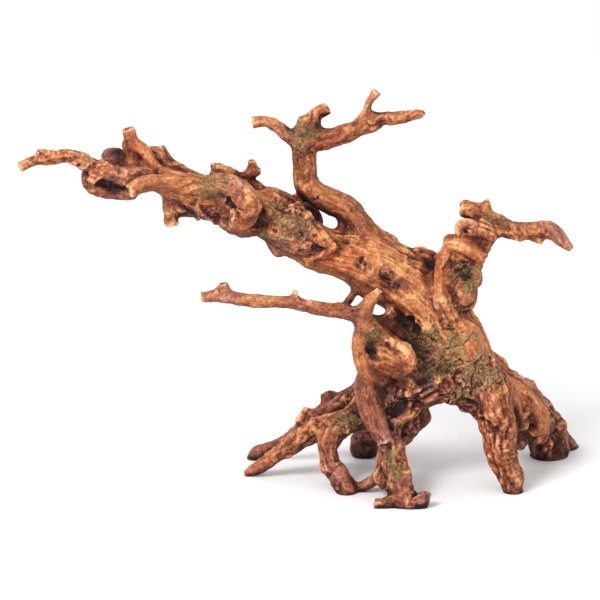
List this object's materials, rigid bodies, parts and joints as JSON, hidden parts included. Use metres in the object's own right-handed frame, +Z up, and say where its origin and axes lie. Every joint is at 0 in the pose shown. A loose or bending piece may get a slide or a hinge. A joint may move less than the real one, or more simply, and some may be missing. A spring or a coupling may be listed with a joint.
{
  "type": "piece of driftwood",
  "caption": "Weathered piece of driftwood: a leaning trunk with snapped twigs and stubs, standing on arched roots.",
  "frame": {"origin": "middle of the bounding box, on the level its feet are cut to", "axes": "+X towards the right-hand legs, +Y to the back, +Z up"},
  "size_m": [0.45, 0.163, 0.3288],
  "materials": {
    "wood": "weathered bare wood with patches of olive-grey moss stain"
  },
  "bodies": {
    "root": {"driftwood": "wood"}
  },
  "joints": []
}
